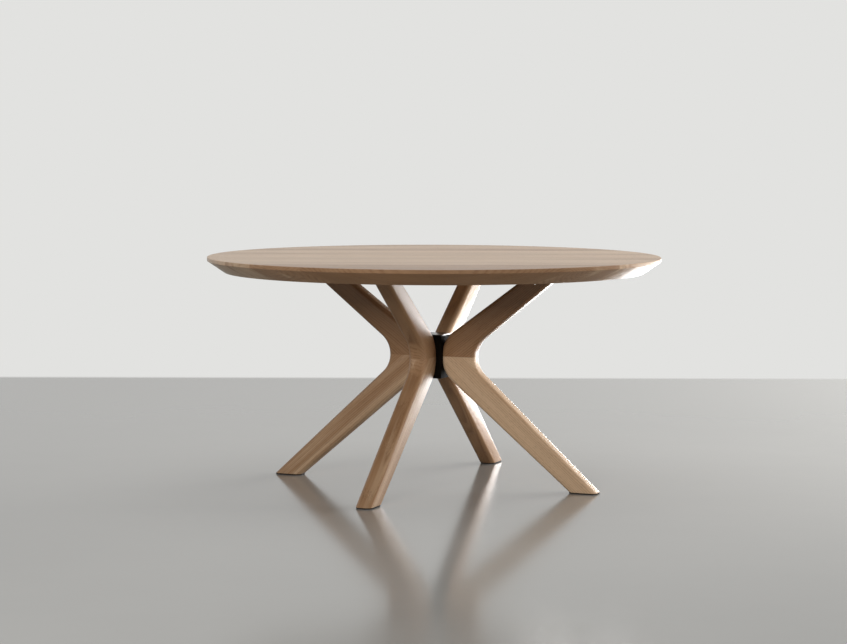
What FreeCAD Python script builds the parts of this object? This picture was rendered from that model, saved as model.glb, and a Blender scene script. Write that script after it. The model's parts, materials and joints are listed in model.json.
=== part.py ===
import FreeCAD, Part
import math
import os

# A round dining table in solid wood: a thick top with a deep reverse bevel stands on four legs.
# Each leg is two arms that meet at a knee, and the four knees are bolted to a square steel hub.
# Millimetres. +Z is up, the origin is on the floor under the middle of the top, X follows the top's grain.

# Overall sizes
table_height = 760.0
top_diameter = 1500.0

# Top
top_thickness = 50.0
edge_band = 12.0
bevel_inset = 56.0
rim_ease = 2.5
board_width_shares = (0.082, 0.097, 0.088, 0.101, 0.090, 0.084, 0.098, 0.086, 0.093, 0.096, 0.085)

# Legs, measured from the table's axis in the plane of each leg
leg_turn_angle = -22.7
leg_thickness = 56.0
inner_round = 20.0
outer_round = 16.0
flats_per_round = 3
knee_height = 430.0
apex_height = 434.0
inner_apex_reach = -31.0
outer_apex_reach = 109.0
top_inner_reach = 344.0
top_outer_reach = 452.0
foot_inner_reach = 487.5
foot_outer_reach = 583.0
inner_knee_radius = 104.0
outer_knee_radius = 80.0

# Foot pads
pad_thickness = 4.0

# Hub
hub_width = 86.0
hub_wall = 5.0
hub_corner_radius = 3.0
hub_height = 145.5
hub_plate_thickness = 4.0
hub_plate_ease = 0.6
plug_flange = 3.0
plug_depth = 16.0
plug_wall = 3.0

# Loose tenon across each knee's glue line
tenon_height = 60.0
tenon_thickness = 12.0
tenon_inner_reach = 78.0
tenon_outer_reach = 122.0

# Small fasteners and their holes are prisms with this many sides
fastener_sides = 6

# Hub bolts and their inserts in the arms
bolt_diameter = 8.0
bolt_head_diameter = 17.0
bolt_crown_diameter = 12.0
bolt_head_height = 4.4
hub_bolt_length = 25.0
hub_bolt_rise_share = 0.15
insert_diameter = 12.0
insert_length = 18.0
insert_setback = 0.5

# Steel plates between the arms and the top
plate_length = 190.0
plate_width = 118.0
plate_thickness = 5.0
plate_corner_cut = 10.0
plate_slot_spacing_along = 150.0
plate_slot_spacing_across = 88.0
slot_travel = 8.0
top_bolt_length = 25.0

# Countersunk screws from the plates into the arms
arm_screw_diameter = 6.0
arm_screw_head = 12.0
arm_screw_length = 45.0
arm_screw_reaches = (358.0, 386.0)
arm_screw_spread = 22.0

# Steel channels let into the underside across the grain
channel_width = 40.0
channel_depth = 15.0
channel_wall = 3.0
channel_place_shares = (-0.69, 0.0, 0.69)
channel_rim_margin = 36.0
channel_screw_diameter = 6.0
channel_screw_head = 12.0
channel_screw_head_height = 3.6
channel_screw_length = 28.0

# Clearances and overruns
thread_clearance = 0.1
bolt_clearance = 0.5
fit_clearance = 0.2
overrun = 20.0

# Heights and reaches that follow from the sizes above
top_radius = top_diameter / 2
underside_radius = top_radius - bevel_inset
underside_height = table_height - top_thickness
arm_top_height = underside_height - plate_thickness
hub_reach = hub_width / 2
hub_top_height = knee_height + hub_height / 2
hub_bottom_height = knee_height - hub_height / 2
leg_names = ("right", "back", "left", "front")
leg_azimuths = tuple(leg_turn_angle + 90.0 * i for i in range(len(leg_names)))
plate_middle = (top_inner_reach + top_outer_reach) / 2
channel_places = tuple(share * top_radius for share in channel_place_shares)

X_AXIS = FreeCAD.Vector(1, 0, 0)
Y_AXIS = FreeCAD.Vector(0, 1, 0)
Z_AXIS = FreeCAD.Vector(0, 0, 1)
ORIGIN = FreeCAD.Vector(0, 0, 0)


def vec(x, y, z):
    return FreeCAD.Vector(x, y, z)


def save(name, shape):
    """Write one node, as a single solid or a group of separate ones."""
    solids = shape.Solids
    body = solids[0] if len(solids) == 1 else Part.makeCompound(solids)
    body.exportStep(f"parts/{name}.step")


def box(x0, x1, y0, y1, z0, z1):
    return Part.makeBox(x1 - x0, y1 - y0, z1 - z0, vec(x0, y0, z0))


def ring(radius, z):
    """Corners of a level polygon that stands for a circle, with the first one repeated at the end."""
    angles = [math.radians(360.0 * i / fastener_sides) for i in range(fastener_sides + 1)]
    return [vec(radius * math.cos(angle), radius * math.sin(angle), z) for angle in angles]


def pointed(shape, base, direction):
    """Move a shape built up the Z axis so that it starts at the base and points along the direction."""
    shape.Placement = FreeCAD.Placement(base, FreeCAD.Rotation(Z_AXIS, direction))
    return shape


def taper(start_radius, end_radius, start, direction, length):
    """Prism of few sides that stands for a small cone or round bar."""
    low = ring(start_radius, 0)
    high = ring(end_radius, length)
    faces = [Part.Face(Part.makePolygon(low)), Part.Face(Part.makePolygon(high))]
    for i in range(fastener_sides):
        faces.append(Part.Face(Part.makePolygon([low[i], low[i + 1], high[i + 1], high[i], low[i]])))
    return pointed(Part.Solid(Part.Shell(faces)), start, direction)


def rod(radius, start, direction, length):
    return taper(radius, radius, start, direction, length)


def turned(shape, azimuth):
    copy = shape.copy()
    copy.rotate(ORIGIN, Z_AXIS, azimuth)
    return copy


def rounded_outline(points, radii):
    """Closed wire through the points, with each corner replaced by a tangent arc of its radius."""
    edges = []
    first = None
    last = None
    for i, corner in enumerate(points):
        before = (points[i - 1] - corner).normalize()
        after = (points[(i + 1) % len(points)] - corner).normalize()
        half_angle = before.getAngle(after) / 2
        setback = radii[i] / math.tan(half_angle)
        bisector = (before + after).normalize()
        start = corner + before * setback
        end = corner + after * setback
        middle = corner + bisector * (radii[i] / math.sin(half_angle) - radii[i])
        if last is not None:
            edges.append(Part.LineSegment(last, start).toShape())
        else:
            first = start
        if radii[i] > 0:
            edges.append(Part.Arc(start, middle, end).toShape())
        last = end
    edges.append(Part.LineSegment(last, first).toShape())
    return Part.Wire(edges)


def rounded_bar(length, width, radius, z0, z1):
    """Upright prism of a rectangle with rounded corners, centred on the origin."""
    x, y = length / 2, width / 2
    corners = [vec(-x, -y, z0), vec(x, -y, z0), vec(x, y, z0), vec(-x, y, z0)]
    face = Part.Face(rounded_outline(corners, [radius] * len(corners)))
    return face.extrude(Z_AXIS * (z1 - z0))


def button_bolt(base, direction, length):
    """Button-head bolt. Base is the seat of its head, direction the way the shank points."""
    head = taper(bolt_head_diameter / 2, bolt_crown_diameter / 2, base, -direction, bolt_head_height)
    return head.fuse(rod(bolt_diameter / 2, base, direction, length))


def threaded_insert(mouth, direction):
    """Sleeve that the bolt's thread runs in. Mouth is its outer end, direction the way it goes in."""
    sleeve = rod(insert_diameter / 2, mouth, direction, insert_length)
    return sleeve.cut(rod(bolt_diameter / 2 + thread_clearance, mouth, direction, insert_length))


def insert_hole(face_point, direction, depth):
    """Stepped hole for an insert and for the bolt's end beyond it."""
    wide = rod(insert_diameter / 2 + fit_clearance, face_point, direction, insert_setback + insert_length)
    narrow = rod(bolt_diameter / 2 + bolt_clearance, face_point, direction, depth)
    return wide.fuse(narrow)


def countersunk_screw(top, length, diameter, head, clearance):
    """Wood screw that points straight down from a flat head. Clearance swells it into its own hole."""
    cone = taper(head / 2 + clearance, diameter / 2 + clearance, top, -Z_AXIS, (head - diameter) / 2)
    return cone.fuse(rod(diameter / 2 + clearance, top, -Z_AXIS, length + clearance))


# The top: one turned disc, cut into boards along the grain

def top_disc():
    """Disc with an upright band, eased along its top edge, above a bevel that runs back to the underside."""
    profile = Part.makePolygon([
        vec(0, 0, underside_height),
        vec(underside_radius, 0, underside_height),
        vec(top_radius, 0, table_height - edge_band),
        vec(top_radius, 0, table_height - rim_ease),
        vec(top_radius - rim_ease, 0, table_height),
        vec(0, 0, table_height),
        vec(0, 0, underside_height),
    ])
    return Part.Face(profile).revolve(ORIGIN, Z_AXIS, 360)


def channel_half_length(x):
    """How far a channel at this place can run before it comes near the bevel."""
    reach = abs(x) + channel_width / 2
    return math.sqrt(underside_radius ** 2 - reach ** 2) - channel_rim_margin


def board_edges():
    """The Y of each board's edges, from the front of the top to the back."""
    edges = [-top_radius]
    for share in board_width_shares:
        edges.append(edges[-1] + share * top_diameter / sum(board_width_shares))
    return edges


def channel_screw_places(x):
    """One screw in the middle of every second board that the channel crosses, and in the outermost ones."""
    edges = board_edges()
    middles = [(front + back) / 2 for front, back in zip(edges, edges[1:])]
    limit = channel_half_length(x) - channel_screw_head - slot_travel
    return [middle for middle in middles if abs(middle) < limit][::2]


def channel_groove(x):
    half_length = channel_half_length(x) + fit_clearance
    half_width = channel_width / 2 + fit_clearance
    return box(x - half_width, x + half_width, -half_length, half_length,
               underside_height - overrun, underside_height + channel_depth + fit_clearance)


def channel(x):
    """Steel channel, open downwards, flush with the underside, with a slot for each screw."""
    half_length = channel_half_length(x)
    half_width = channel_width / 2
    ceiling = underside_height + channel_depth
    shape = box(x - half_width, x + half_width, -half_length, half_length, underside_height, ceiling)
    hollow = box(x - half_width + channel_wall, x + half_width - channel_wall,
                 channel_wall - half_length, half_length - channel_wall,
                 underside_height, ceiling - channel_wall)
    slot_width = channel_screw_diameter / 2 + bolt_clearance
    slot_length = slot_width + slot_travel / 2
    slots = [box(x - slot_width, x + slot_width, y - slot_length, y + slot_length, underside_height, ceiling)
             for y in channel_screw_places(x)]
    return shape.cut([hollow] + slots)


def channel_screw(x, y, clearance):
    """Pan-head wood screw that points up through the channel's web into a board."""
    seat = underside_height + channel_depth - channel_wall
    head = rod(channel_screw_head / 2, vec(x, y, seat - channel_screw_head_height), Z_AXIS,
               channel_screw_head_height)
    radius = channel_screw_diameter / 2 + clearance
    return head.fuse(rod(radius, vec(x, y, seat), Z_AXIS, channel_screw_length + clearance))


def top_bolt_places():
    """The bolts' places for every plate, as points on the underside."""
    places = []
    for azimuth in leg_azimuths:
        for along in (-plate_slot_spacing_along / 2, plate_slot_spacing_along / 2):
            for across in (-plate_slot_spacing_across / 2, plate_slot_spacing_across / 2):
                place = vec(plate_middle + along, across, underside_height)
                places.append(FreeCAD.Rotation(Z_AXIS, azimuth).multVec(place))
    return places


def build_top():
    disc = top_disc()
    cuts = [channel_groove(x) for x in channel_places]
    screws = []
    for x in channel_places:
        for y in channel_screw_places(x):
            cuts.append(channel_screw(x, y, fit_clearance))
            screws.append(channel_screw(x, y, 0))
    bolts = []
    inserts = []
    hole_depth = top_bolt_length + fit_clearance
    for place in top_bolt_places():
        cuts.append(insert_hole(place, Z_AXIS, hole_depth))
        inserts.append(threaded_insert(place + Z_AXIS * insert_setback, Z_AXIS))
        bolts.append(button_bolt(place - Z_AXIS * plate_thickness, Z_AXIS, top_bolt_length))
    disc = disc.cut(cuts)

    edges = board_edges()
    for i in range(len(board_width_shares)):
        front = edges[i] - (overrun if i == 0 else 0)
        back = edges[i + 1] + (overrun if i == len(board_width_shares) - 1 else 0)
        slice_box = box(-top_radius - overrun, top_radius + overrun, front, back,
                        underside_height - overrun, table_height + overrun)
        save(f"top_board_{i + 1:02d}", disc.common(slice_box))
    save("top_bolts", Part.makeCompound(bolts))
    save("top_inserts", Part.makeCompound(inserts))
    save("channel_screws", Part.makeCompound(screws))
    for name, x in zip(("left", "middle", "right"), channel_places):
        save(f"{name}_channel", channel(x))


# One leg, modelled with its plane on XZ and pointing along +X, then turned to its place

def leg_outline_points():
    """Corners of the whole leg's outline, from the inner end of the top round to its outer end."""
    return [
        vec(top_inner_reach, 0, underside_height),
        vec(inner_apex_reach, 0, apex_height),
        vec(foot_inner_reach, 0, 0),
        vec(foot_outer_reach, 0, 0),
        vec(outer_apex_reach, 0, apex_height),
        vec(top_outer_reach, 0, underside_height),
    ]


def edges_along(solid, wire_edges):
    """Edges of the extruded solid that run along the given outline edges, on both its faces."""
    found = []
    for edge in wire_edges:
        middle = edge.valueAt((edge.FirstParameter + edge.LastParameter) / 2)
        for side in (-leg_thickness / 2, leg_thickness / 2):
            point = Part.Vertex(vec(middle.x, side, middle.z))
            found.append(min(solid.Edges, key=lambda candidate: candidate.distToShape(point)[0]))
    return found


def flat_sizes(radius):
    """Sizes of the chamfers whose flats touch a rounded edge of this radius, spread evenly around it."""
    sizes = []
    for i in range(flats_per_round):
        angle = math.radians(90.0 * (i + 1) / (flats_per_round + 1))
        depth = radius * (math.cos(angle) + math.sin(angle) - 1)
        sizes.append((depth / math.cos(angle), depth / math.sin(angle)))
    return sizes


def leg_blank():
    """The leg before its ends, knee flat and joint are cut, with its long edges rounded in flats."""
    outline = rounded_outline(leg_outline_points(), [0, inner_knee_radius, 0, 0, outer_knee_radius, 0])
    face = Part.Face(outline)
    face.translate(Y_AXIS * (-leg_thickness / 2))
    bar = face.extrude(Y_AXIS * leg_thickness)
    inner_start, inner_arc, inner_end, _, outer_start, outer_arc, outer_end, _ = outline.Edges
    blank = bar
    for inner, outer in zip(flat_sizes(inner_round), flat_sizes(outer_round)):
        bevelled = bar.makeChamfer(*inner, edges_along(bar, (inner_start, inner_arc, inner_end)))
        bevelled = bevelled.makeChamfer(*outer, edges_along(bevelled, (outer_start, outer_arc, outer_end)))
        blank = blank.common(bevelled)
    return blank


def leg_slab(z0, z1):
    """Everything beyond the hub's face between two heights."""
    return box(hub_reach, foot_outer_reach + overrun, -leg_thickness, leg_thickness, z0, z1)


def hub_bolt_heights():
    rise = hub_bolt_rise_share * hub_height
    return (knee_height - rise, knee_height + rise)


def knee_tenon(clearance):
    """Loose tenon across the glue line. Clearance swells it into its own mortise."""
    half_thickness = tenon_thickness / 2 + clearance
    half_height = tenon_height / 2 + clearance
    return box(tenon_inner_reach - clearance, tenon_outer_reach + clearance, -half_thickness, half_thickness,
               knee_height - half_height, knee_height + half_height)


def knee_cuts():
    """The tenon's mortise and the holes for the hub bolts' inserts."""
    cuts = [knee_tenon(fit_clearance)]
    for height in hub_bolt_heights():
        cuts.append(insert_hole(vec(hub_reach, 0, height), X_AXIS, hub_bolt_length))
    return cuts


def arm_screws(clearance):
    tops = [vec(reach, side, underside_height) for reach in arm_screw_reaches
            for side in (-arm_screw_spread / 2, arm_screw_spread / 2)]
    return [countersunk_screw(top, arm_screw_length, arm_screw_diameter, arm_screw_head, clearance)
            for top in tops]


def plate():
    """Steel plate on the end of an upper arm. Its slots run across the top's grain."""
    shape = box(plate_middle - plate_length / 2, plate_middle + plate_length / 2,
                -plate_width / 2, plate_width / 2, arm_top_height, underside_height)
    corners = [edge for edge in shape.Edges if edge.Vertexes[0].Z != edge.Vertexes[1].Z]
    return shape.makeChamfer(plate_corner_cut, corners).cut(arm_screws(fit_clearance))


def plate_slots():
    """Slots for every plate, in place, along Y."""
    half_width = bolt_diameter / 2 + bolt_clearance
    half_length = half_width + slot_travel / 2
    return [box(place.x - half_width, place.x + half_width, place.y - half_length, place.y + half_length,
                arm_top_height - overrun, underside_height + overrun) for place in top_bolt_places()]


def foot_pad(blank):
    """Pad under the whole foot, cut to the foot's own outline."""
    wires = blank.slice(Z_AXIS, pad_thickness)
    return Part.Face(wires[0]).extrude(-Z_AXIS * pad_thickness)


def build_legs():
    blank = leg_blank()
    cuts = knee_cuts()
    lower = blank.common(leg_slab(pad_thickness, knee_height)).cut(cuts)
    upper = blank.common(leg_slab(knee_height, arm_top_height)).cut(cuts + arm_screws(fit_clearance))
    pad = foot_pad(blank)
    slots = plate_slots()
    tenons = []
    screws = []
    bolts = []
    inserts = []
    for name, azimuth in zip(leg_names, leg_azimuths):
        save(f"{name}_upper_arm", turned(upper, azimuth))
        save(f"{name}_lower_arm", turned(lower, azimuth))
        save(f"{name}_foot_pad", turned(pad, azimuth))
        save(f"{name}_plate", turned(plate(), azimuth).cut(slots))
        tenons.append(turned(knee_tenon(0), azimuth))
        screws += [turned(shape, azimuth) for shape in arm_screws(0)]
        for height in hub_bolt_heights():
            mouth = vec(hub_reach + insert_setback, 0, height)
            seat = vec(hub_reach - hub_wall, 0, height)
            inserts.append(turned(threaded_insert(mouth, X_AXIS), azimuth))
            bolts.append(turned(button_bolt(seat, X_AXIS, hub_bolt_length), azimuth))
    save("knee_tenons", Part.makeCompound(tenons))
    save("arm_screws", Part.makeCompound(screws))
    save("hub_bolts", Part.makeCompound(bolts))
    save("hub_inserts", Part.makeCompound(inserts))


# The hub: a square tube with a welded top plate and a plug that closes it from below

def hub_prism(inset, radius, z0, z1):
    shape = rounded_bar(hub_width - 2 * inset, hub_width - 2 * inset, radius, z0, z1)
    return turned(shape, leg_turn_angle)


def build_hub():
    tube_top = hub_top_height - hub_plate_thickness
    tube_bottom = hub_bottom_height + plug_flange
    tube = hub_prism(0, hub_corner_radius, tube_bottom, tube_top)
    cuts = [hub_prism(hub_wall, 0, tube_bottom, tube_top)]
    for azimuth in leg_azimuths:
        for height in hub_bolt_heights():
            hole = rod(bolt_diameter / 2 + bolt_clearance, vec(0, 0, height), X_AXIS, hub_reach + overrun)
            cuts.append(turned(hole, azimuth))
    save("hub_tube", tube.cut(cuts))

    top_plate = hub_prism(0, hub_corner_radius, tube_top, hub_top_height)
    rim = [edge for edge in top_plate.Edges
           if all(abs(vertex.Z - hub_top_height) < hub_plate_ease for vertex in edge.Vertexes)]
    save("hub_top_plate", top_plate.makeChamfer(hub_plate_ease, rim))

    flange = hub_prism(0, hub_corner_radius, hub_bottom_height, tube_bottom)
    skirt_top = tube_bottom + plug_depth
    skirt = hub_prism(hub_wall + fit_clearance, 0, tube_bottom, skirt_top)
    skirt = skirt.cut(hub_prism(hub_wall + fit_clearance + plug_wall, 0, tube_bottom, skirt_top))
    save("hub_plug", flange.fuse(skirt))


os.makedirs("parts", exist_ok=True)
build_top()
build_legs()
build_hub()
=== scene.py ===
import json
import math
import random

import bmesh
import bpy
from bpy.props import FloatProperty, FloatVectorProperty, IntProperty, PointerProperty
from mathutils import Euler, Matrix, Vector

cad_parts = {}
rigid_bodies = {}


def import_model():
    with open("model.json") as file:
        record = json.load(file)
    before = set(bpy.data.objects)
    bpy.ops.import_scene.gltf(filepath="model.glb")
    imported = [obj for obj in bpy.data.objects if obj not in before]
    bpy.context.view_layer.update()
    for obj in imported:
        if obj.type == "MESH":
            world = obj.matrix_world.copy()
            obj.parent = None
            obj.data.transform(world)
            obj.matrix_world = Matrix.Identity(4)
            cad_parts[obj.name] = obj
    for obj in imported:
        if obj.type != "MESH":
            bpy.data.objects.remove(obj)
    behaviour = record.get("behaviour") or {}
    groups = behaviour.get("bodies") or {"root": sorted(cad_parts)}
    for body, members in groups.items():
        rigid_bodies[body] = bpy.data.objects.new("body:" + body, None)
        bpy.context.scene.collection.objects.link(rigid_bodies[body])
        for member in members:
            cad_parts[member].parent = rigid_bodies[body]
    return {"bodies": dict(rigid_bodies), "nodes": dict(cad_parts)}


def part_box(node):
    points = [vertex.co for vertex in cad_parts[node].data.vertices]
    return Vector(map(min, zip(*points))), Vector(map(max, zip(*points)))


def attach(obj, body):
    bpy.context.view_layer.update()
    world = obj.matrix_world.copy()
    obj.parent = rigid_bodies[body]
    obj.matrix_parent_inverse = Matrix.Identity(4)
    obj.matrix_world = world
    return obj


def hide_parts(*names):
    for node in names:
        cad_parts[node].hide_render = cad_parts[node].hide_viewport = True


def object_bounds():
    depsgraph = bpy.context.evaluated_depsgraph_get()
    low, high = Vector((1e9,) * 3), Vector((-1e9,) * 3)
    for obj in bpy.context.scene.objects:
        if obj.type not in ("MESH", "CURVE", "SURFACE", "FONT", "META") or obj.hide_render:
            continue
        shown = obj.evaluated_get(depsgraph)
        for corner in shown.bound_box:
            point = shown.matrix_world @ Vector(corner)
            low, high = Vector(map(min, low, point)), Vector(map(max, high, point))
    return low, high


bl_info = {
    "name": "Round hickory table",
    "version": (1, 0, 0),
    "blender": (4, 5, 0),
    "location": "View3D > Sidebar > Table",
    "description": "Dresses the packed table in oiled hickory and black steel, and sets its stage",
    "category": "Object",
}

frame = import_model()
CAD_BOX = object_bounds()
BODY = next(iter(frame["bodies"]))
LEGS = ("right", "back", "left", "front")
BOARDS = sorted(name for name in frame["nodes"] if name.startswith("top_board"))
TOP_HEIGHT = CAD_BOX[1][2]
TOP_RADIUS = CAD_BOX[1][0]
UNDERSIDE_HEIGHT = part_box("right_plate")[1][2]
CHANNELS = ("left_channel", "middle_channel", "right_channel")
SMOOTH_ANGLE = math.radians(32)
MERGE_DISTANCE = 1e-6
CUT_TOLERANCE = 1e-7
FEWEST_STEPS = 6
RIM_STEPS = 4

# The photograph's width is in pixels and the sensor's in millimetres. All other lengths are in metres.
IMAGE_WIDTH = 847
SENSOR_WIDTH = 36.0
MILLIMETRES = 1000.0
VIEW_DISTANCE = 100.0

# How far each plank's tone lies from sapwood to heartwood, which also darkens it. These tones are partly the
# wood's own and partly painted light and shade. The boards run from the front to the back.
# The first two boards hold the front edge. They are darker partly for painted shade on the edge band and
# bevel.
BOARD_TONES_AND_PAINTED_SHADE = (0.9, 0.7, 0.45, 0.3, 0.45, 0.35, 0.5, 0.3, 0.55, 0.35, 0.5)
# The right and left upper arms are darker partly for painted shade under the top. The back upper arm is
# palest partly for painted light.
ARM_TONES_AND_PAINTED_LIGHT = {
    "right_upper_arm": 0.95, "right_lower_arm": 0.22, "back_upper_arm": 0.0, "back_lower_arm": 0.8,
    "left_upper_arm": 1.05, "left_lower_arm": 0.6, "front_upper_arm": 0.8, "front_lower_arm": 0.6,
}

# How each plank was cut: up to this far along a long log and off its centre, between these distances from
# the pith, and turned by up to these angles, a board about X, Y and Z and an arm about its own length.
ALONG_LOG = 40.0
OFF_CENTRE = 0.03
BOARD_FROM_PITH = (0.03, 0.11)
ARM_FROM_PITH = (0.05, 0.14)
BOARD_TURNS = (0.5, 0.02, 0.03)
ARM_TURN = 0.6

# Cells in a metre of the wood's noises, along, across and through the log.
WOOD_NOISES = {
    "sway": (1.6, 7.0, 7.0),
    "drift": (3.5, 14.0, 14.0),
    "cloud": (2.0, 6.0, 6.0),
    "streak": (1.1, 26.0, 26.0),
    "patch": (0.7, 55.0, 55.0),
    "fibre": (9.0, 620.0, 620.0),
    "pore": (70.0, 1500.0, 1500.0),
}

# Cells in a metre of the other surfaces' noises, the depth of their relief, and how far their tone strays.
ORANGE_PEEL = 900.0
PEEL_RELIEF = 0.00008
COAT_CLOUD = 22.0
COAT_PALER = 1.6
ZINC_CLOUD = 260.0
ZINC_RELIEF = 0.00003
ZINC_DARKER = 0.75
PAD_NAP = 700.0
NAP_RELIEF = 0.0002
NAP_PALER = 1.9

# The fastener tree's sizes, and the ending of each one's name in the settings. The shares of a head are the
# height of its steep rim, and its radius where the rim meets the crown.
FASTENER_SIZES = {
    "Head Radius": "head", "Crown Radius": "crown", "Head Height": "rise", "Shank Radius": "shank",
    "Shank Length": "length", "Key Radius": "key",
}
RIM_RISE = 0.45
RIM_TAPER = 0.86

# The floor has the background's tone past its reach. Its roughness goes from the first value to the second as
# Facing does, so that it mirrors the legs at a low angle and is dull when it is seen from above.
FLOOR_HALF = 20.0
FLOOR_FADE = 0.05
FLOOR_CLOUD = 0.9
FLOOR_DARKER = 0.9
FLOOR_PALER = 1.08
FLOOR_FACING = (0.5, 0.8)
FLOOR_ROUGHNESS = (0.75, 0.13)
FLOOR_SPECULAR = 0.38

# Strength of the background as a light, and its tint.
AMBIENT = 0.09
AMBIENT_TINT = (1.0, 0.96, 0.90, 1.0)

# Name, place, target, size and power of each lamp, and what it gives. The strong lamps give no reflections,
# which would turn the top and the floor white in some views. The strips give them to the table alone.
LAMPS = (
    ("window_lamp", (4.4, 2.85, 1.45), (0, 0, 0.4), (4.0, 1.9), 280, "light"),
    ("window_sheen", (5.05, 4.24, 1.7), (0, 0, 0.5), (5.2, 3.4), 40, "reflections"),
    ("low_sheen", (0.9, 1.6, 0.2), (0, -0.3, 0.3), (1.2, 0.4), 24, "table's reflections"),
    ("middle_sheen", (2.0, 2.0, 0.4), (0, 0, 0.4), (2.6, 0.6), 20, "table's reflections"),
    ("front_fill", (-1.8, -5.6, 2.3), (0, 0, 0.35), (3.2, 1.4), 180, "light"),
    ("ceiling_fill", (0.0, 0.5, 4.5), (0, 0, 0.7), (4.0, 4.0), 66, "both"),
    ("floor_wash", (2.5, 0.6, 1.6), (2.5, 0.6, 0), (1.2, 3.6), 16, "both"),
    ("side_fill", (3.6, 0.2, 0.5), (0.6, -0.1, 0.7), (1.2, 0.7), 36, "light"),
)


def linear(red, green, blue):
    """Scene-linear colour of an eight-bit one."""
    shares = [channel / 255 for channel in (red, green, blue)]
    return tuple(s / 12.92 if s <= 0.04045 else ((s + 0.055) / 1.055) ** 2.4 for s in shares)


def length(name, description, default):
    """Property in metres."""
    return FloatProperty(name=name, description=description, default=default, precision=4,
                         subtype="DISTANCE", unit="LENGTH")


def angle(name, description, default):
    """Property in radians."""
    return FloatProperty(name=name, description=description, default=default,
                         subtype="ANGLE", unit="ROTATION")


def share(name, description, default):
    """Property from nought to one."""
    return FloatProperty(name=name, description=description, default=default, min=0, max=1, subtype="FACTOR")


def colour(name, description, default):
    """Property whose default is an eight-bit colour."""
    return FloatVectorProperty(name=name, description=description, default=linear(*default), size=3,
                               min=0, max=1, subtype="COLOR")


# Settings

class TopSettings(bpy.types.PropertyGroup):
    """Sizes of the round top"""
    edge_band: length("Edge band", "Height of the upright edge below the top surface", 0.012)
    bevel_inset: length("Bevel inset", "How far the bevel runs in under the top", 0.056)
    rim_round: length("Rim round", "Radius of the upper arris", 0.0025)
    lower_round: length("Lower rounds", "Radius of the two arrises below it", 0.0012)
    arc_step: angle("Arc step", "Turn from one point of the rim to the next", math.radians(1.0))
    groove_depth: length("Groove depth", "Depth of the grooves that the channels lie in", 0.0152)
    groove_clearance: length("Groove clearance", "Gap between a channel and its groove", 0.0002)
    seed: IntProperty(name="Seed", description="Chooses how the boards were cut from their logs", default=11)


class LegSettings(bpy.types.PropertyGroup):
    """Outline of a leg in its own plane, measured from the table's axis"""
    turn: angle("Turn", "Direction of the right leg", math.radians(-22.7))
    thickness: length("Thickness", "Thickness across the leg's plane", 0.056)
    inner_round: length("Inner round", "Radius of the long edges that face the hub", 0.020)
    outer_round: length("Outer round", "Radius of the long edges that face outwards", 0.016)
    knee_height: length("Knee height", "Height of the glue line", 0.430)
    apex_height: length("Apex height", "Height where the straight lines of the outline would meet", 0.434)
    inner_apex: length("Inner apex", "Reach where the inner lines would meet", -0.031)
    outer_apex: length("Outer apex", "Reach where the outer lines would meet", 0.109)
    top_inner: length("Top inner reach", "Inner edge at the underside of the top", 0.344)
    top_outer: length("Top outer reach", "Outer edge at the underside of the top", 0.452)
    foot_inner: length("Foot inner reach", "Inner edge at the floor", 0.4875)
    foot_outer: length("Foot outer reach", "Outer edge at the floor", 0.583)
    inner_knee_radius: length("Inner knee radius", "Radius of the knee on the side of the hub", 0.104)
    outer_knee_radius: length("Outer knee radius", "Radius of the crook on the outside", 0.080)
    hub_reach: length("Hub reach", "Distance from the axis to the flat where the knee meets the hub", 0.043)
    spare: length("Spare", "How far the blank runs past its cuts", 0.060)
    knee_steps: IntProperty(name="Knee steps", description="Sections around the knee", default=28)
    arm_steps: IntProperty(name="Arm steps", description="Sections along each straight arm", default=10)
    round_steps: IntProperty(name="Round steps", description="Points around each long edge", default=8)
    seed: IntProperty(name="Seed", description="Chooses how the arms were cut from their planks", default=5)


class FastenerSettings(bpy.types.PropertyGroup):
    """Sizes of the bolts and screws that show from below"""
    bolt_head: length("Bolt head", "Radius of a bolt's head at its seat", 0.0084)
    bolt_crown: length("Bolt crown", "Radius of the flat on a bolt's head", 0.0055)
    bolt_rise: length("Bolt head height", "Height of a bolt's head", 0.0043)
    bolt_shank: length("Bolt shank", "Radius of a bolt's shank", 0.0039)
    bolt_length: length("Bolt length", "Length of a bolt's shank", 0.025)
    bolt_key: length("Bolt key", "Radius of the key socket's corners", 0.0029)
    screw_head: length("Screw head", "Radius of a channel screw's head", 0.0059)
    screw_crown: length("Screw crown", "Radius of the flat on a channel screw's head", 0.0044)
    screw_rise: length("Screw head height", "Height of a channel screw's head", 0.0035)
    screw_shank: length("Screw shank", "Radius of a channel screw's shank", 0.0029)
    screw_length: length("Screw length", "Length of a channel screw's shank", 0.028)
    screw_key: length("Screw key", "Radius of the drive's corners", 0.0024)
    key_depth: length("Key depth", "Depth of a key socket", 0.0024)
    sides: IntProperty(name="Sides", description="Sides of a round head", default=32)


class WoodSettings(bpy.types.PropertyGroup):
    """Tones and figure of the hickory"""
    sap: colour("Sapwood", "Palest tone between the rings", (203, 173, 141))
    heart: colour("Heartwood", "Tan tone of the middle of the log", (160, 122, 88))
    late: colour("Late wood", "Darker tone that ends each ring", (116, 80, 51))
    pore: colour("Pores", "Dark of the open pores", (72, 48, 31))
    ring_width: length("Ring width", "Distance between growth rings", 0.0064)
    ring_sway: length("Ring sway", "How far the rings wander across the log", 0.035)
    ring_drift: length("Ring drift", "How far the rings wander through the log", 0.030)
    relief: length("Relief", "Depth of the pores and fibres", 0.00018)
    top_gloss: share("Top roughness", "Roughness of the oiled top", 0.40)
    leg_gloss: share("Leg roughness", "Roughness of the oiled legs", 0.46)
    shine: share("Wood shine", "Specular level of the wood", 0.2)
    oil: share("Oil", "Weight of the coat of oil", 0.3)
    oil_roughness: share("Oil roughness", "Roughness of the coat of oil", 0.24)


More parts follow.
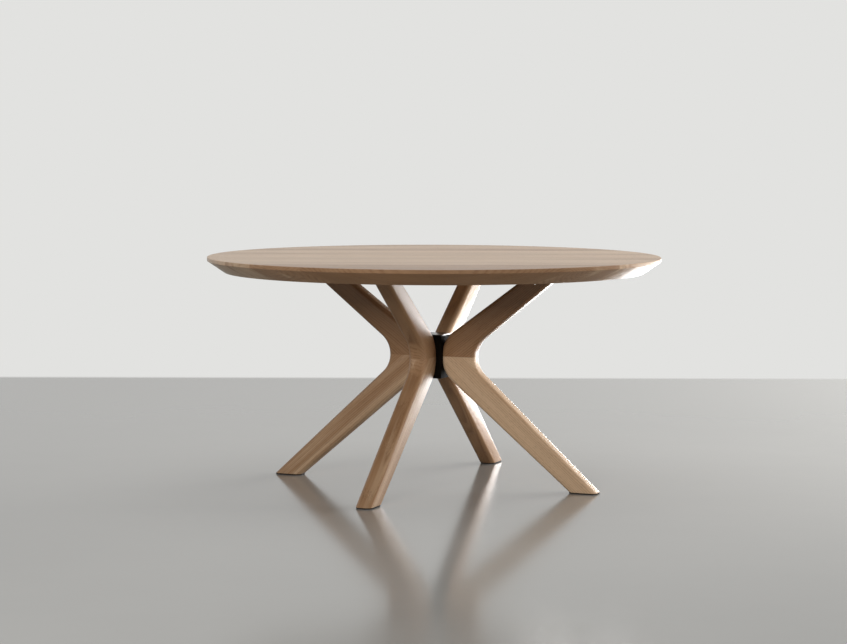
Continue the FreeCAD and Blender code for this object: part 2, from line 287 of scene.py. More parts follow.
class SteelSettings(bpy.types.PropertyGroup):
    """Finishes of the metal and of the pads"""
    coat: colour("Powder coat", "Black of the hub, plates and channels", (14, 11, 8))
    coat_roughness: share("Powder coat roughness", "Roughness of the powder coat", 0.72)
    coat_shine: share("Powder coat shine", "Specular level of the powder coat", 0.04)
    satin_roughness: share("Satin coat roughness", "Roughness of the hub's top plate", 0.20)
    satin_shine: share("Satin coat shine", "Specular level of the hub's top plate", 0.5)
    zinc: colour("Zinc", "Colour of the plated fasteners", (176, 176, 172))
    zinc_roughness: share("Zinc roughness", "Least roughness of the plated fasteners", 0.24)
    pad: colour("Pad", "Colour of the foot pads", (34, 31, 29))
    pad_roughness: share("Pad roughness", "Least roughness of the foot pads", 0.84)


class StageSettings(bpy.types.PropertyGroup):
    """Floor, light and camera"""
    floor: colour("Floor", "Colour of the floor", (153, 152, 148))
    wall: colour("Background", "Colour behind the table", (226, 226, 224))
    floor_reach: length("Floor reach", "How far from the axis the floor turns into the background", 3.25)
    focal: length("Focal length", "Focal length of the camera on a sensor 36 mm wide", 0.09776)
    eye: FloatVectorProperty(name="Eye", description="Place of the camera", default=(-0.0231, -7.617, 1.182),
                             size=3, subtype="TRANSLATION", unit="LENGTH")
    pitch: angle("Pitch", "How far the camera looks down", 0.0840)
    roll: angle("Roll", "Turn of the camera about its own axis", 0.00224)
    axis_column: FloatProperty(name="Axis column", default=427.0, subtype="PIXEL",
                               description="Column of the picture that the camera's axis meets")


SETTINGS = {
    "table_top": TopSettings,
    "table_legs": LegSettings,
    "table_fasteners": FastenerSettings,
    "table_wood": WoodSettings,
    "table_steel": SteelSettings,
    "table_stage": StageSettings,
}


# Shader and geometry node helpers

class Socket:
    """An output socket. Arithmetic on it adds Math nodes."""

    def __init__(self, graph, output):
        self.graph = graph
        self.output = output

    def math(self, operation, *others):
        sockets = {0: self}
        for place, other in enumerate(others, 1):
            sockets[place] = other
        return self.graph.add("ShaderNodeMath", {"operation": operation}, sockets)

    def __add__(self, other):
        return self.math("ADD", other)

    def __sub__(self, other):
        return self.math("SUBTRACT", other)

    def __mul__(self, other):
        return self.math("MULTIPLY", other)

    def __truediv__(self, other):
        return self.math("DIVIDE", other)

    def __rsub__(self, other):
        return (self * -1.0) + other

    def __pow__(self, other):
        return self.math("POWER", other)

    __radd__ = __add__
    __rmul__ = __mul__


class Graph:
    """A node tree that is filled one node at a time."""

    def __init__(self, tree):
        self.tree = tree
        tree.nodes.clear()

    def add(self, kind, settings, sockets, output=0):
        """Add a node, set its settings, fill its sockets and return one of its outputs."""
        node = self.tree.nodes.new(kind)
        for name, value in settings.items():
            if name == "stops":
                self.fill_ramp(node.color_ramp, value)
            else:
                setattr(node, name, value)
        for place, value in sockets.items():
            if isinstance(value, Socket):
                self.tree.links.new(value.output, node.inputs[place])
            else:
                node.inputs[place].default_value = value
        return Socket(self, node.outputs[output]) if node.outputs else None

    @staticmethod
    def fill_ramp(ramp, stops):
        """Give a ramp its stops, each a place and a grey."""
        while len(ramp.elements) < len(stops):
            ramp.elements.new(1.0)
        for element, (place, tone) in zip(ramp.elements, stops):
            element.position = place
            element.color = (tone, tone, tone, 1.0)

    def ramp(self, value, *stops):
        return self.add("ShaderNodeValToRGB", {"stops": stops}, {"Fac": value})

    def blend(self, factor, first, second):
        """Colour between two others, each a socket or a plain colour."""
        colours = [tone if isinstance(tone, Socket) else (*tone, 1.0) for tone in (first, second)]
        return self.add("ShaderNodeMix", {"data_type": "RGBA"},
                        {0: factor, 6: colours[0], 7: colours[1]}, 2)

    def noise(self, vector, scale, detail, roughness=0.5, distortion=0.0):
        """Noise over a vector, stretched by a scale for each direction."""
        stretched = self.add("ShaderNodeVectorMath", {"operation": "MULTIPLY"}, {0: vector, 1: scale})
        return self.add("ShaderNodeTexNoise", {"noise_dimensions": "3D"},
                        {"Vector": stretched, "Scale": 1.0, "Detail": detail, "Roughness": roughness,
                         "Distortion": distortion}, "Fac")

    def bump(self, height, distance, strength):
        return self.add("ShaderNodeBump", {}, {"Height": height, "Distance": distance, "Strength": strength})


def shaded(tone, factor):
    """A colour made darker or paler."""
    return tuple(factor * part for part in tone)


def new_material(name):
    """A material and its empty graph."""
    material = bpy.data.materials.new(name)
    material.use_nodes = True
    return material, Graph(material.node_tree)


def close_material(graph, sockets):
    """Add the shader and the material's output."""
    shader = graph.add("ShaderNodeBsdfPrincipled", {}, sockets)
    graph.add("ShaderNodeOutputMaterial", {}, {"Surface": shader})


def hickory(name, wood, roughness):
    """Oiled hickory. It reads each piece's grain attribute, which runs along, across and through the log."""
    material, graph = new_material(name)
    grain = graph.add("ShaderNodeAttribute", {"attribute_name": "grain"}, {}, "Vector")
    tone = graph.add("ShaderNodeAttribute", {"attribute_name": "tone"}, {}, "Fac")
    across = graph.add("ShaderNodeSeparateXYZ", {}, {0: grain}, "Y")
    through = graph.add("ShaderNodeSeparateXYZ", {}, {0: grain}, "Z")

    def figure(kind, *detail):
        """One of the wood's noises, from nought to one."""
        return graph.noise(grain, WOOD_NOISES[kind], *detail)

    # Growth rings around the pith, which sway along the log and end in darker late wood
    sway = figure("sway", 2.0) - 0.5
    drift = figure("drift", 1.0) - 0.5
    wide = across + sway * wood.ring_sway
    deep = through + drift * wood.ring_drift
    rings = (wide * wide + deep * deep) ** 0.5 / wood.ring_width
    phase = (rings + sway * 1.5).math("FRACT")
    late = graph.ramp(phase, (0.0, 0.55), (0.10, 0.05), (0.55, 0.20), (0.90, 0.85), (1.0, 0.60))
    late = late * graph.ramp(figure("patch", 2.0), (0.0, 0.2), (0.38, 0.3), (0.64, 1.0))
    early = graph.ramp(phase, (0.0, 1.0), (0.22, 0.7), (0.34, 0.0), (0.94, 0.0), (1.0, 1.0))

    # Streaks of heartwood, fine fibres, broad clouds, and pores in the early wood
    streak = figure("streak", 3.0, 0.6, 0.3)
    fibre = figure("fibre", 3.0, 0.6)
    cloud = figure("cloud", 2.0)
    pores = graph.ramp(figure("pore", 1.0), (0.0, 0.0), (0.56, 0.0), (0.64, 1.0)) * early

    # The plank's tone, which is partly painted light and shade, pulls the wood towards heartwood, deepens its
    # late wood and darkens it.
    heart = graph.ramp(streak + (tone - 0.5) * 0.9, (0.0, 0.0), (0.40, 0.12), (0.62, 0.88), (1.0, 1.0))
    body = graph.blend(heart, wood.sap, wood.heart)
    body = graph.blend(late * (tone * 0.55 + 0.30), body, wood.late)
    body = graph.blend(pores * 0.55, body, wood.pore)
    shade = (fibre - 0.5) * 0.30 + (cloud - 0.5) * 0.22 - tone * 0.24 + 1.12
    body = graph.add("ShaderNodeVectorMath", {"operation": "SCALE"}, {0: body, "Scale": shade})

    height = fibre * 0.25 - pores * 0.8 - late * 0.15
    close_material(graph, {
        "Base Color": body,
        "Roughness": (fibre - 0.5) * 0.16 + pores * 0.2 + roughness,
        "Normal": graph.bump(height, wood.relief, 0.8),
        "Specular IOR Level": wood.shine,
        "Coat Weight": wood.oil,
        "Coat Roughness": wood.oil_roughness,
    })
    return material


def powder_coat(name, steel, roughness, shine):
    """Black coat with a fine orange-peel surface, mottled by a paler black."""
    material, graph = new_material(name)
    place = graph.add("ShaderNodeTexCoord", {}, {}, "Object")
    peel = graph.noise(place, (ORANGE_PEEL,) * 3, 2.0)
    cloud = graph.noise(place, (COAT_CLOUD,) * 3, 3.0)
    close_material(graph, {
        "Base Color": graph.blend(cloud, steel.coat, shaded(steel.coat, COAT_PALER)),
        "Roughness": (cloud - 0.5) * 0.14 + roughness,
        "Specular IOR Level": shine,
        "Normal": graph.bump(peel, PEEL_RELIEF, 0.6),
    })
    return material


def zinc_plate(name, steel):
    """Bright plated steel with a fine grey cloud."""
    material, graph = new_material(name)
    place = graph.add("ShaderNodeTexCoord", {}, {}, "Object")
    cloud = graph.noise(place, (ZINC_CLOUD,) * 3, 2.0)
    close_material(graph, {
        "Base Color": graph.blend(cloud, shaded(steel.zinc, ZINC_DARKER), steel.zinc),
        "Metallic": 1.0,
        "Roughness": cloud * 0.2 + steel.zinc_roughness,
        "Normal": graph.bump(cloud, ZINC_RELIEF, 0.5),
    })
    return material


def foot_pad(name, steel):
    """Dark dull pad with a nap."""
    material, graph = new_material(name)
    place = graph.add("ShaderNodeTexCoord", {}, {}, "Object")
    nap = graph.noise(place, (PAD_NAP,) * 3, 3.0)
    close_material(graph, {
        "Base Color": graph.blend(nap, steel.pad, shaded(steel.pad, NAP_PALER)),
        "Roughness": nap * 0.1 + steel.pad_roughness,
        "Normal": graph.bump(nap, NAP_RELIEF, 0.7),
    })
    return material


def finish(kind):
    """The material of that name, made the first time that it is asked for."""
    scene = bpy.context.scene
    if kind in bpy.data.materials:
        return bpy.data.materials[kind]
    wood, steel = scene.table_wood, scene.table_steel
    makers = {
        "top_hickory": lambda: hickory(kind, wood, wood.top_gloss),
        "leg_hickory": lambda: hickory(kind, wood, wood.leg_gloss),
        "black_powder_coat": lambda: powder_coat(kind, steel, steel.coat_roughness, steel.coat_shine),
        "satin_black": lambda: powder_coat(kind, steel, steel.satin_roughness, steel.satin_shine),
        "zinc_plate": lambda: zinc_plate(kind, steel),
        "foot_pad": lambda: foot_pad(kind, steel),
    }
    return makers[kind]()


# Mesh helpers

def eased(points, radii, steps):
    """The polyline through the points, with each corner of a radius replaced by an arc in even steps."""
    line = []
    for i, corner in enumerate(points):
        if not radii[i]:
            line.append(corner.copy())
            continue
        before = (points[i - 1] - corner).normalized()
        after = (points[i + 1] - corner).normalized()
        half = before.angle(after) / 2
        centre = corner + (before + after).normalized() * (radii[i] / math.sin(half))
        start = corner + before * (radii[i] / math.tan(half)) - centre
        end = corner + after * (radii[i] / math.tan(half)) - centre
        turn = start.angle_signed(end)
        line += [centre + Matrix.Rotation(-turn * step / steps, 2) @ start for step in range(steps + 1)]
    return line


def skin(mesh, rings):
    """Join rings of as many vertices each by quads, and close both ends."""
    count = len(rings[0])
    for low, high in zip(rings, rings[1:]):
        for i in range(count):
            mesh.faces.new((low[i], low[(i + 1) % count], high[(i + 1) % count], high[i]))
    mesh.faces.new(list(reversed(rings[0])))
    mesh.faces.new(rings[-1])


def trim(mesh, point, outwards):
    """Cut off what lies beyond a plane and close the cut."""
    geometry = mesh.verts[:] + mesh.edges[:] + mesh.faces[:]
    cut = bmesh.ops.bisect_plane(mesh, geom=geometry, dist=CUT_TOLERANCE, plane_co=point, plane_no=outwards,
                                 clear_outer=True)
    edges = [part for part in cut["geom_cut"] if isinstance(part, bmesh.types.BMEdge)]
    bmesh.ops.edgeloop_fill(mesh, edges=edges)


def weld(mesh):
    """Join the vertices that meet, and turn the faces outwards."""
    bmesh.ops.remove_doubles(mesh, verts=mesh.verts, dist=MERGE_DISTANCE)
    bmesh.ops.recalc_face_normals(mesh, faces=mesh.faces)


def new_object(name, mesh):
    """Make and link an object of a mesh that is done with."""
    data = bpy.data.meshes.new(name)
    mesh.to_mesh(data)
    mesh.free()
    piece = bpy.data.objects.new(name, data)
    bpy.context.collection.objects.link(piece)
    return piece


def plain_mesh(piece):
    """The mesh of an object with its modifiers applied. The object itself goes."""
    bpy.context.view_layer.update()
    data = bpy.data.meshes.new_from_object(piece.evaluated_get(bpy.context.evaluated_depsgraph_get()))
    bpy.data.objects.remove(piece)
    return data


def wooden_piece(mesh, name, kind, node, tone, grain):
    """Make a plank's object, which stands for a CAD node. Grain tells where a place lies in the log."""
    weld(mesh)
    piece = new_object(name, mesh)
    dress(piece, kind, (node,))
    mark_grain(piece.data, grain, tone)


def dress(piece, kind, nodes):
    """Give a piece its material, smooth shading and body, and hide the CAD nodes that it stands for."""
    piece.data.materials.clear()
    piece.data.materials.append(finish(kind))
    for face in piece.data.polygons:
        face.use_smooth = True
    piece.data.set_sharp_from_angle(angle=SMOOTH_ANGLE)
    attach(piece, BODY)
    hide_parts(*nodes)


def mark_grain(data, grain, tone):
    """Write where each vertex lies in its log, and the plank's tone, which is partly painted light and shade.
    """
    places = [part for vertex in data.vertices for part in grain(vertex.co)]
    data.attributes.new("grain", "FLOAT_VECTOR", "POINT").data.foreach_set("vector", places)
    data.attributes.new("tone", "FLOAT", "POINT").data.foreach_set("value", [tone] * len(data.vertices))


def cut_from_log(draw, from_pith):
    """Where a plank lay in its log."""
    return Vector((draw.uniform(-ALONG_LOG, ALONG_LOG), draw.uniform(-OFF_CENTRE, OFF_CENTRE),
                   draw.choice((-1, 1)) * draw.uniform(*from_pith)))


# The top

def rim_profile(top):
    """Radius and height of the rim, from the underside up to the top surface."""
    inner = TOP_RADIUS - top.bevel_inset
    band = TOP_HEIGHT - top.edge_band
    points = [Vector((inner - 4 * top.lower_round, UNDERSIDE_HEIGHT)), Vector((inner, UNDERSIDE_HEIGHT)),
              Vector((TOP_RADIUS, band)), Vector((TOP_RADIUS, TOP_HEIGHT)),
              Vector((TOP_RADIUS - 2 * top.rim_round, TOP_HEIGHT))]
    return eased(points, (0, top.lower_round, top.lower_round, top.rim_round, 0), RIM_STEPS)


def board_mesh(top, front, back):
    """A strip of the turned disc between two Y values."""
    def side(radius, y):
        return math.asin(max(-1.0, min(1.0, y / radius)))

    mesh = bmesh.new()
    turn = side(TOP_RADIUS, back) - side(TOP_RADIUS, front)
    steps = max(FEWEST_STEPS, math.ceil(turn / top.arc_step))
    rings = []
    for radius, height in rim_profile(top):
        start, end = side(radius, front), side(radius, back)
        turns = [start + (end - start) * step / steps for step in range(steps + 1)]
        spots = [(radius * math.cos(a), radius * math.sin(a)) for a in turns]
        spots += [(-x, y) for x, y in reversed(spots)]
        rings.append([mesh.verts.new((x, y, height)) for x, y in spots])
    skin(mesh, rings)
    weld(mesh)
    return mesh


def groove_cutter(top):
    """One object with a box for each channel, a little larger than the channel."""
    mesh = bmesh.new()
    for name in CHANNELS:
        low, high = (Vector(corner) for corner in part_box(name))
        gap = Vector((top.groove_clearance, top.groove_clearance, 0))
        low = low - gap - Vector((0, 0, top.groove_depth))
        high = high + gap
        high.z = UNDERSIDE_HEIGHT + top.groove_depth
        size = Matrix.Diagonal((high - low).to_4d())
        bmesh.ops.create_cube(mesh, size=1.0, matrix=Matrix.Translation((low + high) / 2) @ size)
    return new_object("groove_cutter", mesh)


class TABLE_OT_boards(bpy.types.Operator):
    """Make the boards of the top, each with its own cut of the log"""
    bl_idname = "table.boards"
    bl_label = "Make the top's boards"

    def execute(self, context):
        top = context.scene.table_top
        draw = random.Random(top.seed)
        cutter = groove_cutter(top)
        for number, node in enumerate(BOARDS, 1):
            low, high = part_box(node)
            middle = (low[1] + high[1]) / 2
            shift = cut_from_log(draw, BOARD_FROM_PITH) - Vector((0, middle, TOP_HEIGHT))
            tilt = Euler([draw.uniform(-turn, turn) for turn in BOARD_TURNS]).to_matrix()
            blank = new_object("board_blank", board_mesh(top, *self.limits(number, low, high)))
            groove = blank.modifiers.new("Grooves", "BOOLEAN")
            groove.operation = "DIFFERENCE"
            groove.solver = "EXACT"
            groove.object = cutter
            mesh = bmesh.new()
            mesh.from_mesh(plain_mesh(blank))
            wooden_piece(mesh, f"hickory_board_{number:02d}", "top_hickory", node,
                         BOARD_TONES_AND_PAINTED_SHADE[number - 1], lambda place: tilt @ (place + shift))
        bpy.data.objects.remove(cutter)
        return {"FINISHED"}

    @staticmethod
    def limits(number, low, high):
        """The outermost boards run to the rim's own tangent."""
        front = -TOP_RADIUS if number == 1 else low[1]
        back = TOP_RADIUS if number == len(BOARDS) else high[1]
        return front, back


# The legs

def knee_line(apex, top_end, foot_end, radius, leg):
    """One line of the outline, from above the top's underside round the knee to below the floor."""
    bend = eased([top_end, apex, foot_end], (0, radius, 0), leg.knee_steps)[1:-1]
    upper = top_end + (top_end - apex).normalized() * leg.spare
    lower = foot_end + (foot_end - apex).normalized() * leg.spare
    ahead = [upper.lerp(bend[0], step / leg.arm_steps) for step in range(leg.arm_steps)]
    behind = [bend[-1].lerp(lower, step / leg.arm_steps) for step in range(1, leg.arm_steps + 1)]
    return ahead + bend + behind


def section(leg, inner, outer):
    """Points around the leg between an inner and an outer point of its outline."""
    half = leg.thickness / 2
    reach = (outer - inner).length
    corners = ((reach, half, leg.outer_round, 0.0), (0.0, half, leg.inner_round, 0.5),
               (0.0, -half, leg.inner_round, 1.0), (reach, -half, leg.outer_round, 1.5))
    direction = (outer - inner) / reach
    points = []
    for along, side, radius, start in corners:
        centre_along = along + math.copysign(radius, reach / 2 - along)
        centre_side = side - math.copysign(radius, side)
        for step in range(leg.round_steps + 1):
            turn = math.pi * (start + step / leg.round_steps / 2)
            place = inner + direction * (centre_along + radius * math.cos(turn))
            points.append((place.x, centre_side + radius * math.sin(turn), place.y))
    return points


def leg_mesh(leg):
    """The whole blank of a leg, which points along +X."""
    inner = knee_line(Vector((leg.inner_apex, leg.apex_height)), Vector((leg.top_inner, UNDERSIDE_HEIGHT)),
                      Vector((leg.foot_inner, 0)), leg.inner_knee_radius, leg)
    outer = knee_line(Vector((leg.outer_apex, leg.apex_height)), Vector((leg.top_outer, UNDERSIDE_HEIGHT)),
                      Vector((leg.foot_outer, 0)), leg.outer_knee_radius, leg)
    mesh = bmesh.new()
    skin(mesh, [[mesh.verts.new(point) for point in section(leg, *pair)] for pair in zip(inner, outer)])
    trim(mesh, (leg.hub_reach, 0, 0), (-1, 0, 0))
    return mesh


class TABLE_OT_arms(bpy.types.Operator):
    """Make the upper and lower arm of each leg, with the grain along the arm"""
    bl_idname = "table.arms"
    bl_label = "Make the legs' arms"

    def execute(self, context):
        leg = context.scene.table_legs
        draw = random.Random(leg.seed)
        for number, name in enumerate(LEGS):
            for part, end in (("upper", (leg.top_inner + leg.top_outer) / 2),
                              ("lower", (leg.foot_inner + leg.foot_outer) / 2)):
                node = f"{name}_{part}_arm"
                low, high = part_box(node)
                mesh = leg_mesh(leg)
                height, outwards = (high[2], 1) if part == "upper" else (low[2], -1)
                trim(mesh, (0, 0, height), (0, 0, outwards))
                trim(mesh, (0, 0, leg.knee_height), (0, 0, -outwards))
                self.finish_arm(mesh, leg, number, node, part, end, draw)
        return {"FINISHED"}

    @staticmethod
    def finish_arm(mesh, leg, number, node, part, end, draw):
        """Turn an arm to its place. Its grain runs from the knee to its end."""
        end_height = UNDERSIDE_HEIGHT if part == "upper" else 0.0
        knee = (leg.inner_apex + leg.outer_apex) / 2
        slope = math.atan2(end_height - leg.apex_height, end - knee)
        turn = Matrix.Rotation(leg.turn + number * math.pi / 2, 3, "Z")
        for vertex in mesh.verts:
            vertex.co = turn @ vertex.co
        plank = Matrix.Rotation(slope, 3, "Y") @ turn.transposed()
        plank = Matrix.Rotation(draw.uniform(-ARM_TURN, ARM_TURN), 3, "X") @ plank
        shift = cut_from_log(draw, ARM_FROM_PITH)
        wooden_piece(mesh, f"hickory_{node}", "leg_hickory", node, ARM_TONES_AND_PAINTED_LIGHT[node],
                     lambda place: plank @ place + shift)


# The metal

def soften_tree():
    """Tree that joins a CAD mesh's loose triangles and shades its rounded faces smooth."""
    tree = bpy.data.node_groups.new("Softened faces", "GeometryNodeTree")
    tree.interface.new_socket("Geometry", in_out="INPUT", socket_type="NodeSocketGeometry")
    tree.interface.new_socket("Angle", in_out="INPUT", socket_type="NodeSocketFloat")
    tree.interface.new_socket("Geometry", in_out="OUTPUT", socket_type="NodeSocketGeometry")
    graph = Graph(tree)
    solid = graph.add("NodeGroupInput", {}, {}, 0)
    limit = graph.add("NodeGroupInput", {}, {}, 1)
    joined = graph.add("GeometryNodeMergeByDistance", {}, {0: solid, "Distance": MERGE_DISTANCE})
    smooth = graph.add("GeometryNodeSetShadeSmooth", {"domain": "FACE"}, {0: joined, "Shade Smooth": True})
    bend = graph.add("GeometryNodeInputMeshEdgeAngle", {}, {}, 0)
    crisp = graph.add("FunctionNodeCompare", {"data_type": "FLOAT", "operation": "LESS_THAN"},
                      {0: bend, 1: limit})
    edged = graph.add("GeometryNodeSetShadeSmooth", {"domain": "EDGE"}, {0: smooth, "Shade Smooth": crisp})
    graph.add("NodeGroupOutput", {}, {0: edged})
    return tree


def soften(piece, tree):
    """Put the softening tree on a CAD node."""
    modifier = piece.modifiers.new("Softened faces", "NODES")
    modifier.node_group = tree
    modifier[tree.interface.items_tree["Angle"].identifier] = SMOOTH_ANGLE


def coat_nodes(names, kind, tree):
    """Give CAD nodes a finish and smooth faces."""
    for name in names:
        node = frame["nodes"][name]
        node.data.materials.clear()
        node.data.materials.append(finish(kind))
        soften(node, tree)


class TABLE_OT_steelwork(bpy.types.Operator):
    """Coat the hub, the plates and the channels, and give the hidden fittings and the pads their finish"""
    bl_idname = "table.steelwork"
    bl_label = "Finish the steelwork and pads"

    def execute(self, context):
        tree = soften_tree()
        plates = [f"{name}_plate" for name in LEGS]
        coat_nodes(("hub_tube", "hub_plug", *plates, *CHANNELS), "black_powder_coat", tree)
        coat_nodes(["hub_top_plate"], "satin_black", tree)
        coat_nodes(["hub_bolts", "hub_inserts", "arm_screws", "top_inserts"], "zinc_plate", tree)
        coat_nodes(["knee_tenons"], "leg_hickory", tree)
        coat_nodes([f"{name}_foot_pad" for name in LEGS], "foot_pad", tree)
        return {"FINISHED"}


def fastener_tree():
    """Tree that puts a fastener at each point, with its head and key socket facing down."""
    tree = bpy.data.node_groups.new("Headed fasteners", "GeometryNodeTree")
    tree.interface.new_socket("Points", in_out="INPUT", socket_type="NodeSocketGeometry")
    for name in (*FASTENER_SIZES, "Key Depth"):
        tree.interface.new_socket(name, in_out="INPUT", socket_type="NodeSocketFloat")
    for name in ("Sides", "Key Sides"):
        tree.interface.new_socket(name, in_out="INPUT", socket_type="NodeSocketInt")
    tree.interface.new_socket("Finish", in_out="INPUT", socket_type="NodeSocketMaterial")
    tree.interface.new_socket("Geometry", in_out="OUTPUT", socket_type="NodeSocketGeometry")
    graph = Graph(tree)

    def given(name):
        return graph.add("NodeGroupInput", {}, {}, name)

    def along(height):
        return graph.add("ShaderNodeCombineXYZ", {}, {"Z": height})

    def moved(geometry, height, turn=0.0):
        return graph.add("GeometryNodeTransform", {}, {"Geometry": geometry, "Translation": along(height),
                                                       "Rotation": (turn, 0.0, 0.0)})

    def cone(bottom, top, depth):
        return graph.add("GeometryNodeMeshCone", {}, {"Vertices": given("Sides"), "Radius Bottom": bottom,
                                                      "Radius Top": top, "Depth": depth})

    def cylinder(sides, radius, depth):
        return graph.add("GeometryNodeMeshCylinder", {},
                         {"Vertices": sides, "Radius": radius, "Depth": depth})

    # The key is centred on the head's flat, so its upper half cuts the socket
    rise = given("Head Height")
    dome = rise * RIM_RISE
    shoulder = given("Head Radius") * RIM_TAPER
    rim = cone(given("Head Radius"), shoulder, dome)
    crown = cone(shoulder, given("Crown Radius"), rise - dome)
    shank = cylinder(given("Sides"), given("Shank Radius"), given("Shank Length"))
    key = cylinder(given("Key Sides"), given("Key Radius"), given("Key Depth") * 2.0)
    parts = (moved(rim, 0.0, math.pi), moved(crown, dome * -1.0, math.pi),
             moved(shank, given("Shank Length") * 0.5))
    solid = graph.add("GeometryNodeMeshBoolean", {"operation": "UNION", "solver": "EXACT"}, {})
    union = solid.output.node
    for part in parts:
        tree.links.new(part.output, union.inputs["Mesh 2"])
    keyed = graph.add("GeometryNodeMeshBoolean", {"operation": "DIFFERENCE", "solver": "EXACT"},
                      {"Mesh 1": solid, "Mesh 2": moved(key, rise * -1.0)})
    placed = graph.add("GeometryNodeInstanceOnPoints", {}, {"Points": given("Points"), "Instance": keyed})
    real = graph.add("GeometryNodeRealizeInstances", {}, {"Geometry": placed})
    coated = graph.add("GeometryNodeSetMaterial", {}, {"Geometry": real, "Material": given("Finish")})
    graph.add("NodeGroupOutput", {}, {0: coated})
    return tree


def island_middles(node):
    """Middle of each separate solid of a CAD node, in plan."""
    mesh = bmesh.new()
    mesh.from_mesh(frame["nodes"][node].data)
    bmesh.ops.remove_doubles(mesh, verts=mesh.verts, dist=MERGE_DISTANCE)
    left = set(mesh.verts)
    middles = []
    while left:
        island = {left.pop()}
        waiting = list(island)
        while waiting:
            vertex = waiting.pop()
            for edge in vertex.link_edges:
                other = edge.other_vert(vertex)
                if other not in island:
                    island.add(other)
                    waiting.append(other)
        left -= island
        xs = [vertex.co.x for vertex in island]
        ys = [vertex.co.y for vertex in island]
        middles.append(((min(xs) + max(xs)) / 2, (min(ys) + max(ys)) / 2))
    mesh.free()
    return sorted(middles)


class TABLE_OT_fasteners(bpy.types.Operator):
    """Put round-headed bolts and screws where the CAD ones are seen from below"""
    bl_idname = "table.fasteners"
    bl_label = "Make the bolts and screws"

    def execute(self, context):
        sizes = context.scene.table_fasteners
        tree = fastener_tree()
        bolt_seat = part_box("right_plate")[0][2]
        screw_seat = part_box("channel_screws")[1][2] - sizes.screw_length
        for name, node, kind, seat, key_sides in (
                ("plate_bolts", "top_bolts", "bolt", bolt_seat, 6),
                ("channel_pan_screws", "channel_screws", "screw", screw_seat, 4)):
            inputs = {label: getattr(sizes, f"{kind}_{size}") for label, size in FASTENER_SIZES.items()}
            inputs["Key Depth"] = sizes.key_depth
            inputs["Sides"] = sizes.sides
            inputs["Key Sides"] = key_sides
            inputs["Finish"] = finish("zinc_plate")
            self.place(tree, name, node, seat, inputs)
        return {"FINISHED"}

    @staticmethod
    def place(tree, name, node, seat, inputs):
        """One fastener over each solid of a CAD node, with its head's underside at the seat."""
        mesh = bmesh.new()
        for x, y in island_middles(node):
            mesh.verts.new((x, y, seat))
        points = new_object(f"{name}_points", mesh)
        modifier = points.modifiers.new("Headed fasteners", "NODES")
        modifier.node_group = tree
        for label, value in inputs.items():
            modifier[tree.interface.items_tree[label].identifier] = value
        piece = bpy.data.objects.new(name, plain_mesh(points))
        bpy.context.collection.objects.link(piece)
        dress(piece, "zinc_plate", (node,))


# The stage

def floor_material(stage):
    """Smooth pale floor that fades into the background around the table."""
    material, graph = new_material("pale_floor")
    place = graph.add("ShaderNodeTexCoord", {}, {}, "Object")
    cloud = graph.noise(place, (FLOOR_CLOUD,) * 3, 4.0, 0.55)
    beside = graph.add("ShaderNodeSeparateXYZ", {}, {0: place}, "X").math("ABSOLUTE")
    behind = graph.add("ShaderNodeSeparateXYZ", {}, {0: place}, "Y").math("ABSOLUTE")
    reach = beside.math("MAXIMUM", behind)
    fade = graph.add("ShaderNodeMapRange", {"interpolation_type": "SMOOTHSTEP"},
                     {"Value": reach, "From Min": stage.floor_reach - FLOOR_FADE,
                      "From Max": stage.floor_reach + FLOOR_FADE})
    facing = graph.add("ShaderNodeLayerWeight", {}, {}, "Facing")
    polish = graph.add("ShaderNodeMapRange", {},
                       {"Value": facing, "From Min": FLOOR_FACING[0], "From Max": FLOOR_FACING[1],
                        "To Min": FLOOR_ROUGHNESS[0], "To Max": FLOOR_ROUGHNESS[1]})
    ground = graph.add("ShaderNodeBsdfPrincipled", {}, {
        "Base Color": graph.blend(cloud, shaded(stage.floor, FLOOR_DARKER), shaded(stage.floor, FLOOR_PALER)),
        "Roughness": (cloud - 0.5) * 0.08 + polish,
        "Specular IOR Level": FLOOR_SPECULAR,
    })
    strength = seen_in_full(graph) * (1.0 - AMBIENT) + AMBIENT
    beyond = graph.add("ShaderNodeEmission", {}, {"Color": (*stage.wall, 1.0), "Strength": strength})
    surface = graph.add("ShaderNodeMixShader", {}, {0: fade, 1: ground, 2: beyond})
    graph.add("ShaderNodeOutputMaterial", {}, {"Surface": surface})
    return material


def seen_in_full(graph):
    """One to the camera and in reflections, and nought for light."""
    seen = graph.add("ShaderNodeLightPath", {}, {}, "Is Camera Ray")
    glossy = graph.add("ShaderNodeLightPath", {}, {}, "Is Glossy Ray")
    return seen.math("MAXIMUM", glossy)


def add_lamp(name, place, target, size, power, gives, table):
    """Area lamp that gives light, reflections or both, to all or to the table alone."""
    lamp = bpy.data.lights.new(name, "AREA")
    lamp.shape = "RECTANGLE"
    lamp.size, lamp.size_y = size
    lamp.energy = power
    holder = bpy.data.objects.new(name, lamp)
    holder.location = place
    holder.visible_camera = False
    holder.visible_glossy = gives != "light"
    holder.visible_diffuse = gives in ("light", "both")
    if gives == "table's reflections":
        holder.light_linking.receiver_collection = table
    holder.rotation_euler = (Vector(target) - Vector(place)).to_track_quat("-Z", "Y").to_euler()
    bpy.context.collection.objects.link(holder)


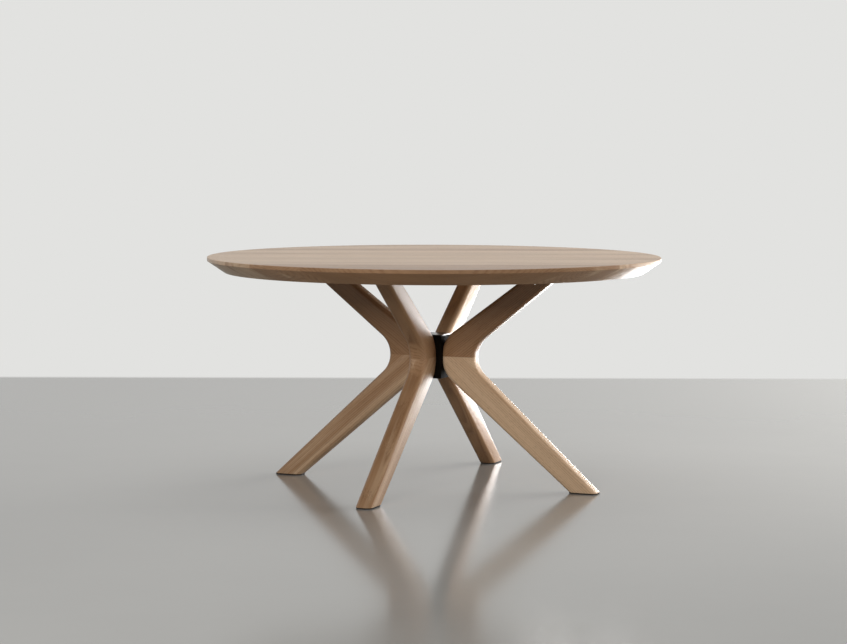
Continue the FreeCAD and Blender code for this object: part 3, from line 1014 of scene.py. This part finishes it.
class TABLE_OT_stage(bpy.types.Operator):
    """Lay the floor, hang the lamps and set up the camera"""
    bl_idname = "table.stage"
    bl_label = "Set the stage"

    def execute(self, context):
        stage = context.scene.table_stage
        mesh = bmesh.new()
        bmesh.ops.create_grid(mesh, x_segments=1, y_segments=1, size=FLOOR_HALF)
        floor = new_object("floor", mesh)
        floor.data.materials.append(floor_material(stage))

        table = bpy.data.collections.new("table_pieces")
        for piece in list(context.scene.objects):
            if piece.type == "MESH" and piece is not floor:
                table.objects.link(piece)
        for lamp in LAMPS:
            add_lamp(*lamp, table)
        self.world(context, stage)
        self.camera(context, stage)
        context.scene.view_settings.view_transform = "Standard"
        return {"FINISHED"}

    @staticmethod
    def world(context, stage):
        """Background that the camera and reflections see in full, and that lights the table a little."""
        world = bpy.data.worlds.new("pale_room")
        world.use_nodes = True
        context.scene.world = world
        graph = Graph(world.node_tree)
        lit = graph.add("ShaderNodeBackground", {}, {"Color": AMBIENT_TINT, "Strength": AMBIENT})
        backdrop = graph.add("ShaderNodeBackground", {}, {"Color": (*stage.wall, 1.0), "Strength": 1.0})
        surface = graph.add("ShaderNodeMixShader", {}, {0: seen_in_full(graph), 1: lit, 2: backdrop})
        graph.add("ShaderNodeOutputWorld", {}, {"Surface": surface})

    @staticmethod
    def camera(context, stage):
        """Camera with the photograph's own view."""
        data = bpy.data.cameras.new("photo_camera")
        data.sensor_fit = "HORIZONTAL"
        data.sensor_width = SENSOR_WIDTH
        data.lens = stage.focal * MILLIMETRES
        data.shift_x = (IMAGE_WIDTH / 2 - stage.axis_column) / IMAGE_WIDTH
        data.clip_end = VIEW_DISTANCE
        camera = bpy.data.objects.new("photo_camera", data)
        camera.location = stage.eye
        aim = Euler((math.pi / 2 - stage.pitch, 0, 0)).to_matrix()
        aim = aim @ Matrix.Rotation(stage.roll, 3, "Z")
        camera.rotation_euler = aim.to_euler()
        context.collection.objects.link(camera)
        context.scene.camera = camera


class TABLE_PT_workshop(bpy.types.Panel):
    """Lists the steps that dress the table"""
    bl_idname = "TABLE_PT_workshop"
    bl_label = "Round hickory table"
    bl_space_type = "VIEW_3D"
    bl_region_type = "UI"
    bl_category = "Table"

    def draw(self, context):
        for operator in STEPS:
            self.layout.operator(operator.bl_idname)
        for name, group in SETTINGS.items():
            box = self.layout.box()
            box.label(text=group.__doc__)
            for prop in group.__annotations__:
                box.prop(getattr(context.scene, name), prop)


STEPS = (TABLE_OT_boards, TABLE_OT_arms, TABLE_OT_steelwork, TABLE_OT_fasteners, TABLE_OT_stage)


def register():
    for kind in (*SETTINGS.values(), *STEPS, TABLE_PT_workshop):
        bpy.utils.register_class(kind)
    for name, group in SETTINGS.items():
        setattr(bpy.types.Scene, name, PointerProperty(type=group))


def unregister():
    for name in SETTINGS:
        delattr(bpy.types.Scene, name)
    for kind in reversed((*SETTINGS.values(), *STEPS, TABLE_PT_workshop)):
        bpy.utils.unregister_class(kind)


def main():
    """Dress the table and set its stage."""
    register()
    for operator in STEPS:
        group, name = operator.bl_idname.split(".")
        getattr(getattr(bpy.ops, group), name)()


if __name__ == "__main__":
    main()
